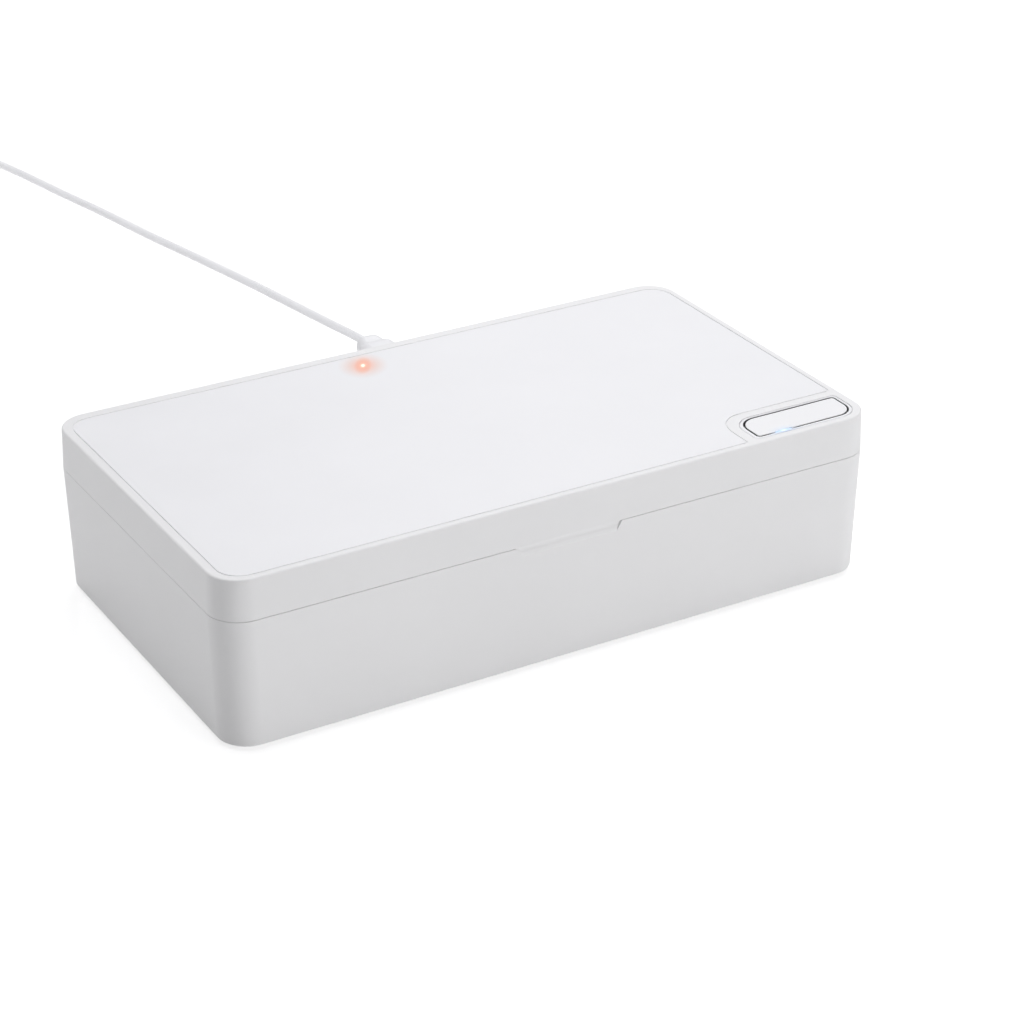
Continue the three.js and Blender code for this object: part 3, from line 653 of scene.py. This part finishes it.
boolean(a3, "DIFFERENCE", holes)
done(a3, M_steel, "power_cord", ["usb_a_plug_shell"])
a4 = new_obj("Usb_a_plug_tongue", box_bm(TX - 5.35, TX + 5.35, AY - 41.6, AY - 31.4, TZ - 1.6, TZ - 0.1))
done(a4, M_plug, "power_cord", ["usb_a_plug_tongue"])
# the tie: a soft strap round the turns
TYC, HALF = COIL[1] + 16.55, 6.35
outer = [(-HALF - 1.1, 0.05), (HALF + 1.1, 7.75)]


def strap_ring(x, grow):
    pts = rr(TYC - HALF - 1.1 + grow, TYC + HALF + 1.1 - grow, 0.05 + grow, 7.75 - grow, 1.6 - grow, 8)
    return [(x, a, b) for a, b in pts]


tie_bm = loft_bm([strap_ring(COIL[0] - 2.5, 0.12), strap_ring(COIL[0] - 2.42, 0.03), strap_ring(COIL[0] - 2.3, 0.0),
                  strap_ring(COIL[0] + 2.3, 0.0), strap_ring(COIL[0] + 2.42, 0.03), strap_ring(COIL[0] + 2.5, 0.12)])
tie = new_obj("Cord_tie", tie_bm)
boolean(tie, "DIFFERENCE", loft_bm([[(x, a, b) for a, b in rr(TYC - HALF - 0.4, TYC + HALF + 0.4, 0.75, 7.05, 1.0, 8)] for x in (COIL[0] - 4, COIL[0] + 4)]))
done(tie, M_tie, "power_cord", ["cord_tie"])

# ---------------------------------------------------------------- base shell
def base_d(z):
    t = (SEAM - GAP - z) / (SEAM - GAP - FOOT - 0.8)
    return DRAFT_X * t, DRAFT_Y * t


layers = []
for d, z in fillet(FOOT, SEAM - SLIT, 0.9, 0.10, 6):
    dx, dy = base_d(max(z, FOOT + 0.8)) if z < SEAM - 1 else (0.0, 0.0)
    ring = sym_in(W / 2, D / 2, R, d + dx, d + dy)
    # the seam closes up a little along the left side
    layers.append([(x, y, z + SLIT * 0.6 * min(max((-x - 101.0) / 7.5, 0.0), 1.0) ** 2) for x, y in ring] if z > SEAM - 1 else (ring, z))
base = new_obj("Base_shell", loft_bm(layers))
cut = loft_bm([(sym_in(W / 2 - WALL - 1.0, D / 2 - WALL - 0.4, R - WALL, 0), FOOT + 2),
               (sym_in(W / 2 - WALL, D / 2 - WALL, R - WALL, 0), SEAM - GAP - 0.2),
               (sym_in(W / 2 - WALL + 0.2, D / 2 - WALL + 0.2, R - WALL + 0.2, 0), SEAM + 1)])
boolean(base, "DIFFERENCE", cut)
boss = box_bm(-21, 21, -59.3, -57.4, 33, SEAM - GAP - 0.02)
for s_ in (-1, 1):
    turned_bm(s_ * 102.8, -53.1, [(2.4, FOOT + 1.5), (2.4, 32.2), (2.2, 32.5)], 28, boss)
    turned_bm(s_ * 95, 53, [(3.2, FOOT + 1.5), (3.2, 38.8), (3.0, 39.1)], 32, boss)
for x in (-12, 48):
    turned_bm(x, 54, [(2.2, FOOT + 1.5), (2.2, 33.95)], 28, boss)
boolean(base, "UNION", boss)
kn = bmesh.new()
for s_ in (-1, 1):
    cx = s_ * HINGE_X
    for a, b in ((cx - 12, cx - 5), (cx + 5, cx + 12)):
        along_x([BARREL - 0.3, BARREL - 0.09, BARREL, BARREL, BARREL - 0.09, BARREL - 0.3],
                [a, a + 0.09, a + 0.3, b - 0.3, b - 0.09, b], HINGE_Y, HINGE_Z, 48, kn)
boolean(base, "UNION", kn)
web = bmesh.new()
for s_ in (-1, 1):
    cx = s_ * HINGE_X
    for a, b in ((cx - 12, cx - 5), (cx + 5, cx + 12)):
        # a gusset that runs from the barrel down into the wall
        prof = [(D / 2 - 0.8, HINGE_Z - GAP - 0.02), (HINGE_Y + 0.0, HINGE_Z - GAP - 0.02), (HINGE_Y + 0.0, HINGE_Z - BARREL + 0.02),
                (D / 2 + 1.0, HINGE_Z - BARREL - 0.0), (D / 2 - 0.8, HINGE_Z - BARREL - 0.0)]
        loft_bm([[(x, y, z) for y, z in prof] for x in (a + 0.3, b - 0.3)], web)
boolean(base, "UNION", web)
cut = bmesh.new()
for s_ in (-1, 1):
    cx = s_ * HINGE_X
    along_x([1.15, 1.15], [cx - 14, cx + 14], HINGE_Y, HINGE_Z, 32, cut)
    turned_bm(s_ * 95, 53, [(1.35, 30), (1.35, 40)], 24, cut)
# finger recess: a shallow scoop under the seam


def recess(z, d):
    """One level of the scoop: sloped at the left end, square at the right."""
    t = (z - 38.4) / 3.2
    xl, xr = -15.8 - 2.45 * t, 16.8 + 1.65 * t
    pts = [(xl, -63.0), (xl, -61.03)]
    for i in range(1, 7):
        u = i / 6
        pts.append((xl + 2.9 * d * u, -61.03 + (d + 0.03) * (u * u * (3 - 2 * u))))
    for i in range(0, 6):
        u = i / 6
        pts.append((xr - 0.9 * d * (1 - u), -61.03 + (d + 0.03) * (1 - u ** 3)))
    pts += [(xr, -61.03), (xr, -63.0)]
    return pts


scoop = [(recess(z, d), z) for z, d in ((38.36, 0.0), (38.46, 0.06), (38.6, 0.13), (38.9, 0.24), (39.3, 0.38), (39.7, 0.5), (40.0, 0.555), (40.3, 0.585), (40.8, 0.6), (42.2, 0.6))]
boolean(base, "DIFFERENCE", loft_bm(scoop))
loft_y(*PORT, [(10.2, 4.4, 2.1, 57), (10.2, 4.4, 2.1, 60.5), (10.3, 4.5, 2.15, 60.75), (10.6, 4.8, 2.3, 60.95), (10.9, 5.1, 2.4, 61.1), (10.9, 5.1, 2.4, 63)], 12, cut)
for x, y in ((-92, -44), (92, -44), (-92, 44), (92, 44)):
    turned_bm(x, y, [(5.5, 0), (5.5, 1.0), (5.3, 1.15), (5.3, 1.5)], 48, cut)
boolean(base, "DIFFERENCE", cut)
done(base, M_shell, "base", ["base_shell"])

# ---------------------------------------------------------------- lid shell
def lid_d(z):
    return LID_DRAFT * min(max((z - SEAM - GAP) / (TOP - EDGE - SEAM - GAP), 0.0), 1.0)


layers = []
for d, z in fillet(SEAM + SLIT, TOP, 0.10, EDGE, 10):
    layers.append((sym_in(W / 2, D / 2, R, d + lid_d(z)), z))
lid = new_obj("Lid_shell", loft_bm(layers))
cut = loft_bm([(sym_in(W / 2 - WALL + 0.2, D / 2 - WALL + 0.2, R - WALL + 0.2, 0), SEAM - 1),
               (sym_in(W / 2 - WALL, D / 2 - WALL, R - WALL, 0), SEAM + GAP + 0.2),
               (sym_in(W / 2 - WALL, D / 2 - WALL, R - WALL, 0), PLATE_B)])
boolean(lid, "DIFFERENCE", cut)
SCREWS = (("front_left", -96, -38), ("front_right", 96, -36), ("rear_left", -96, 40), ("rear_right", 96, 40))
boss = bmesh.new()
for _, x, y in SCREWS:
    turned_bm(x, y, [(2.8, 43.5), (3, 43.7), (3, PLATE_B + 0.5)], 32, boss)
for s_ in (-1, 1):
    turned_bm(s_ * 102.8, -53.1, [(2.4, 47.8), (2.4, PLATE_B + 0.5)], 28, boss)
    turned_bm(s_ * 60, 0, [(4, 46.3), (4, PLATE_B + 0.5)], 32, boss)
    cx = s_ * HINGE_X
    a, b = cx - 4.7, cx + 4.7
    along_x([BARREL - 0.3, BARREL - 0.09, BARREL, BARREL, BARREL - 0.09, BARREL - 0.3],
            [a, a + 0.09, a + 0.3, b - 0.3, b - 0.09, b], HINGE_Y, HINGE_Z, 48, boss)
boolean(lid, "UNION", boss)
web = bmesh.new()
for s_ in (-1, 1):
    cx = s_ * HINGE_X
    prof = [(D / 2 - 0.9, HINGE_Z + GAP + 0.02), (HINGE_Y, HINGE_Z + GAP + 0.02), (HINGE_Y, HINGE_Z + BARREL - 0.02), (D / 2 - 0.9, HINGE_Z + BARREL - 0.0)]
    loft_bm([[(x, y, z) for y, z in prof] for x in (cx - 4.4, cx + 4.4)], web)
boolean(lid, "UNION", web)
cut = bmesh.new()
for _, x, y in SCREWS:
    turned_bm(x, y, [(1.35, 43), (1.35, 49.5)], 24, cut)
turned_bm(87.4, -51.2, [(2.1, PLATE_B - 1), (2.1, PLATE_T + 0.5)], 32, cut)
turned_bm(LAMP[0], LAMP[1], [(1.5, PLATE_B - 1), (1.5, PLATE_T + 0.5)], 32, cut)
for s_ in (-1, 1):
    cx = s_ * HINGE_X
    along_x([1.15, 1.15], [cx - 6, cx + 6], HINGE_Y, HINGE_Z, 32, cut)
boolean(lid, "DIFFERENCE", cut)
LIP = 0.10
# the line round the panel is a shallow step; below it the lid closes up to the panel
STEP = 0.26
cut = loft_bm([(panel_pts(-GROOVE / 2 + 0.05), PLATE_T), (panel_pts(-GROOVE / 2 + 0.05), TOP - STEP), (panel_pts(GROOVE / 2 - 0.10), TOP - STEP),
               (panel_pts(GROOVE / 2 - 0.03), TOP - STEP + 0.03), (panel_pts(GROOVE / 2), TOP - STEP + 0.10)]
              + [(panel_pts(GROOVE / 2 + o), z) for o, z in mouth(TOP, LIP)] + [(panel_pts(GROOVE / 2 + LIP), TOP + 1)])
boolean(lid, "DIFFERENCE", cut)
cut = loft_bm([(rr_in(BZO, -0.05), PLATE_T), (rr_in(BZO, -0.05), TOP - 0.46), (rr_in(BZO, -0.24), TOP - 0.46), (rr_in(BZO, -0.26), TOP - 0.42)]
              + [(rr_in(BZO, -0.26 - o), z) for o, z in mouth(TOP, 0.07)] + [(rr_in(BZO, -0.33), TOP + 1)])
boolean(lid, "DIFFERENCE", cut)
done(lid, M_shell, "lid", ["lid_shell"])

# ---------------------------------------------------------------- lid top: panel, frame, button, lamps
layers = [(panel_pts(-GROOVE / 2 - d), z) for d, z in fillet(PLATE_T + 0.3, TOP, 0.0, LIP, 4)]
panel = new_obj("Charging_panel", loft_bm(layers))
boolean(panel, "DIFFERENCE", turned_bm(LAMP[0], LAMP[1], [(1.5, PLATE_T - 1), (1.5, TOP - 0.5)], 32))
done(panel, M_panel, "lid", ["charging_panel"])

fr = new_obj("Button_frame", loft_bm([(rr_in(BZO, d), z) for d, z in fillet(PLATE_T + 0.3, TOP - 0.05, 0.0, 0.10, 4)]))
boolean(fr, "DIFFERENCE", loft_bm([(rr_in(BZI, 0), PLATE_T - 1)] + [(rr_in(BZI, -o), z) for o, z in mouth(TOP - 0.05, 0.08)] + [(rr_in(BZI, -0.08), TOP + 1)]))
done(fr, M_frame, "lid", ["button_frame"])

btn = new_obj("Power_button", loft_bm([(rr_in(BTN, d), z) for d, z in fillet(PLATE_T + 1.1, TOP - 0.02, 0.1, 0.12, 5)]))
boolean(btn, "UNION", turned_bm(87.4, -51.2, [(1.3, 50.4), (1.5, 50.6), (1.5, PLATE_T + 1.4)], 32))
boolean(btn, "DIFFERENCE", box_bm(75.7, 81.7, -58, -55.9, 52, 56))
done(btn, M_button, "button", ["power_button"])

lg = new_obj("Button_light_guide", loft_bm([(rr(75.8 + d, 81.6 - d, -56.6 + d, -56.0 - d, 0.28, 6), z) for d, z in fillet(PLATE_T + 0.3, TOP - 0.22, 0.0, 0.10, 4)]))
done(lg, M_blue, "lid", ["button_light_guide"])
lp = new_obj("Charge_light_pipe", turned_bm(LAMP[0], LAMP[1], [(1.0, 47.8), (1.1, 47.9), (1.1, TOP - 0.9), (1.0, TOP - 0.8)], 32))
done(lp, M_orange, "lid", ["charge_light_pipe"])

# ---------------------------------------------------------------- chamber
tub = new_obj("Chamber_tub", loft_bm([
    (rr(-103.2, 103.2, -54.4, 46.0, 12.6), 7.0), (rr(-103.7, 103.7, -54.9, 46.5, 13.1), 7.5), (rr(-104.7, 104.7, -55.9, 47.5, 14), 39.6)]))
FL = (-107.2, 107.2, -57.0, 58.2, 7.8)
boolean(tub, "UNION", loft_bm([(rr_in(FL, d), z) for d, z in fillet(39.4, 40.4, 0.0, 0.25, 4)]))
cav = [(rr(-102.5 + d, 102.5 - d, -53.7 + d, 45.3 - d, 11.8 - d), z) for d, z in ((2.2, 8.2), (1.3, 8.38), (0.62, 8.85), (0.2, 9.5), (0.02, 10.4))]
cav += [(rr(-103.45, 103.45, -54.65, 46.25, 12.75), 39.9), (rr(-103.5, 103.5, -54.7, 46.3, 12.8), 40.0), (rr(-103.6, 103.6, -54.8, 46.4, 12.9), 40.2),
        (rr(-103.85, 103.85, -55.05, 46.65, 13.1), 40.36), (rr(-104.1, 104.1, -55.3, 46.9, 13.4), 40.42), (rr(-104.1, 104.1, -55.3, 46.9, 13.4), 42)]
boolean(tub, "DIFFERENCE", loft_bm(cav))
cut = bmesh.new()
for s_ in (-1, 1):
    turned_bm(s_ * 95, 53, [(1.35, 38), (1.35, 42)], 24, cut)
boolean(tub, "DIFFERENCE", cut)
# low ribs that keep the items off the floor so that the light gets round them
ribs = bmesh.new()
for i in range(-6, 7):
    x = i * 14.0
    prof = [(x - 0.9, 8.1), (x + 0.9, 8.1), (x + 0.75, 8.55), (x + 0.45, 8.8), (x, 8.88), (x - 0.45, 8.8), (x - 0.75, 8.55)]
    loft_bm([[(a, y, b) for a, b in prof] for y in (-46.0, 37.6)], ribs)
boolean(tub, "UNION", ribs)
done(tub, M_mirror, "base", ["chamber_tub"])

gk = new_obj("Rim_gasket", loft_bm([(rr(-106.8 + d, 106.8 - d, -56.8 + d, 57.8 - d, 7.4), z) for d, z in fillet(40.7, 41.7, 0.3, 0.45, 5)]))
boolean(gk, "DIFFERENCE", loft_bm([(rr(-105.2 - d, 105.2 + d, -55.3 - d, 56.2 + d, 6.4), z) for d, z in
                                  ((0.0, 40.0), (0.0, 41.25), (0.06, 41.45), (0.2, 41.62), (0.4, 41.7), (0.4, 42.4))]))
done(gk, M_rubber, "base", ["rim_gasket"])

for name, x, y in (("front_left", -92, -44), ("front_right", 92, -44), ("rear_left", -92, 44), ("rear_right", 92, 44)):
    f = new_obj("Foot_" + name, turned_bm(x, y, [(4.3, 0.0), (4.62, 0.06), (4.85, 0.2), (5.0, 0.45), (5.0, 1.2)], 48))
    done(f, M_feet, "base", ["foot_" + name])


def screw(name, x, y, z0, zs, zh, flip, body, node):
    """A pan-head screw, its head at zh (below zs when flip), with a cross recess."""
    if flip:
        prof = [(1.2, zh), (1.8, zh + 0.06), (2.15, zh + 0.25), (2.3, zh + 0.5), (2.3, zs), (1.0, zs + 0.01), (1.0, z0 - 0.4), (0.6, z0)]
    else:
        prof = [(0.6, z0), (1.0, z0 + 0.4), (1.0, zs - 0.01), (2.4, zs), (2.4, zh - 0.5), (2.2, zh - 0.22), (1.8, zh - 0.06), (1.1, zh)]
    ob = new_obj(name, turned_bm(x, y, prof, 40))
    zc = (zh - 1, zh + 0.45) if flip else (zh - 0.45, zh + 1)
    cross = box_bm(x - 1.15, x + 1.15, y - 0.22, y + 0.22, *zc)
    boolean(ob, "DIFFERENCE", cross)
    boolean(ob, "DIFFERENCE", box_bm(x - 0.22, x + 0.22, y - 1.15, y + 1.15, *zc))
    return done(ob, M_steel, body, [node])


for s_, side in ((-1, "left"), (1, "right")):
    screw("Tub_screw_" + side, s_ * 95, 53, 32, 40.7, 41.5, False, "base", "tub_screw_" + side)
    p_ = new_obj("Hinge_pin_" + side, along_x([0.75, 0.95, 0.95, 0.75], [s_ * HINGE_X - 12.2, s_ * HINGE_X - 12.0, s_ * HINGE_X + 12.0, s_ * HINGE_X + 12.2], HINGE_Y, HINGE_Z, 32))
    done(p_, M_pin, "base", ["hinge_pin_" + side])
for nm, x, y in SCREWS:
    screw("Lid_screw_" + nm, x, y, 48.5, 41.7, 40.9, True, "lid", "lid_screw_" + nm)

sock = new_obj("Usb_socket_shell", loft_y(*PORT, [(9.3, 3.5, 1.7, 52.9), (9.3, 3.5, 1.7, 60.45), (9.15, 3.35, 1.65, 60.6)], 10))
boolean(sock, "DIFFERENCE", loft_y(*PORT, [(8.7, 2.95, 1.42, 53.3), (8.7, 2.95, 1.42, 60.4), (8.95, 3.15, 1.52, 60.6), (8.95, 3.15, 1.52, 61.5)], 10))
done(sock, M_steel, "base", ["usb_socket_shell"])

# ---------------------------------------------------------------- lid liner and lamps
LN = (-107.4, 107.4, -58.4, 58.4, 7.8)
liner = new_obj("Lid_liner", loft_bm([(rr_in(LN, d), z) for d, z in fillet(42.0, 43.2, 0.3, 0.1, 4)]))
cut = bmesh.new()
for s_ in (-1, 1):
    turned_bm(s_ * 60, 0, [(4.6, 41), (4.6, 42.0), (4.38, 42.12), (4.3, 42.35), (4.3, 44)], 56, cut)
for _, x, y in SCREWS:
    turned_bm(x, y, [(1.35, 41), (1.35, 44)], 28, cut)
boolean(liner, "DIFFERENCE", cut)
done(liner, M_mirror, "lid", ["lid_liner"])
for s_, side in ((-1, "left"), (1, "right")):
    w_ = new_obj("Uvc_window_" + side, turned_bm(s_ * 60, 0, [(3.8, 42.2), (4.0, 42.35), (4.0, 42.85), (3.8, 43.0)], 56))
    done(w_, M_quartz, "lid", ["uvc_window_" + side])
    e_ = new_obj("Uvc_led_" + side, loft_bm([(rr(s_ * 60 - 1.75 + d, s_ * 60 + 1.75 - d, -1.75 + d, 1.75 - d, 0.3, 4), z) for d, z in ((0.12, 43.4), (0, 43.5), (0, 44.7))]))
    boolean(e_, "DIFFERENCE", turned_bm(s_ * 60, 0, [(1.25, 43.0), (1.25, 43.4), (0.9, 43.8)], 32))
    done(e_, M_ceramic, "lid", ["uvc_led_" + side])

# ---------------------------------------------------------------- carried-over CAD nodes
CARRIED = {
    "usb_socket_tongue": M_black, "power_board": M_board, "hall_sensor": M_black,
    "base_magnet_left": M_magnet, "base_magnet_right": M_magnet, "lid_magnet_left": M_magnet, "lid_magnet_right": M_magnet,
    "sensor_magnet": M_magnet, "uvc_board_left": M_whiteboard, "uvc_board_right": M_whiteboard, "charging_coil": M_copper,
    "ferrite_sheet": M_ferrite, "charger_board": M_board, "switch_board": M_board, "tact_switch": M_black, "charge_light_board": M_board,
}
for node, mat in CARRIED.items():
    ob = bpy.data.objects.get(node)
    if ob is None:
        raise RuntimeError("no object for node " + node)
    for sl in ob.material_slots:
        sl.material = mat
    if not ob.material_slots:
        ob.data.materials.append(mat)

# ---------------------------------------------------------------- floor, lights, world
LIGHTS = {"world": 0.06, "floor": 0.137, "top": 23.6, "front_right": 15.0, "front": 0.6, "top_right": 4.6, "back_left_near": 2.0}
fl = bmesh.new()
bmesh.ops.create_grid(fl, x_segments=1, y_segments=1, size=6.0)
floor = new_obj("floor", fl)
floor.location.z = -0.0002
fmat = bpy.data.materials.new("floor")
fmat.use_nodes = True
nt = fmat.node_tree
b = next(n for n in nt.nodes if n.type == "BSDF_PRINCIPLED")
lp_ = nt.nodes.new("ShaderNodeLightPath")
link(nt, mixcol(nt, lp_.outputs["Is Camera Ray"], (0.90, 0.90, 0.90), (0.55, 0.55, 0.55)), b.inputs["Base Color"])
b.inputs["Roughness"].default_value = 0.10
b.inputs["Specular IOR Level"].default_value = 0.5
b.inputs["Emission Color"].default_value = (1, 1, 1, 1)
ln_ = nt.nodes.new("ShaderNodeVectorMath")
ln_.operation = "LENGTH"
link(nt, coords(nt), ln_.inputs[0])
seen = mrange(nt, ln_.outputs["Value"], 0.45, 1.0, 0.64, 1.0, smooth=True)
link(nt, math_node(nt, "ADD", math_node(nt, "MULTIPLY", math_node(nt, "SUBTRACT", seen, LIGHTS["floor"]), lp_.outputs["Is Camera Ray"]), LIGHTS["floor"]), b.inputs["Emission Strength"])
floor.data.materials.append(fmat)

world = bpy.data.worlds.new("World")
scene.world = world
world.use_nodes = True
bg = world.node_tree.nodes["Background"]
bg.inputs["Color"].default_value = (1, 1, 1, 1)
wt = world.node_tree
wl = wt.nodes.new("ShaderNodeLightPath")
gl = math_node(wt, "MAXIMUM", wl.outputs["Is Camera Ray"], math_node(wt, "MULTIPLY", wl.outputs["Is Glossy Ray"], 0.26))
link(wt, math_node(wt, "MAXIMUM", gl, LIGHTS["world"]), bg.inputs["Strength"])


def area(name, loc, target, size, color=(1, 1, 1)):
    li = bpy.data.lights.new(name, "AREA")
    li.shape = "RECTANGLE"
    li.size, li.size_y = size
    li.energy = LIGHTS[name]
    li.color = color
    ob = bpy.data.objects.new(name, li)
    scene.collection.objects.link(ob)
    ob.location = loc
    ob.rotation_euler = (Vector(target) - Vector(loc)).to_track_quat("-Z", "Y").to_euler()
    return ob


area("top", (0.0, 0.2, 1.7), (0, 0, 0), (1.8, 1.8), (0.985, 0.985, 1.0))
area("front_right", (0.93, -1.64, 0.6), (0, 0, 0.03), (1.3, 1.0))
area("front", (-0.1, -1.9, 0.7), (0, 0, 0.03), (1.0, 0.8))
area("top_right", (0.75, 0.75, 0.9), (0, 0, 0.03), (1.0, 1.0), (0.985, 0.985, 1.0))
area("back_left_near", (-0.75, 0.75, 0.30), (-0.11, 0.0, 0.03), (0.6, 0.5))

scene.view_settings.view_transform = "Standard"
scene.view_settings.look = "None"
scene.view_settings.exposure = 0.0
scene.view_settings.gamma = 1.0
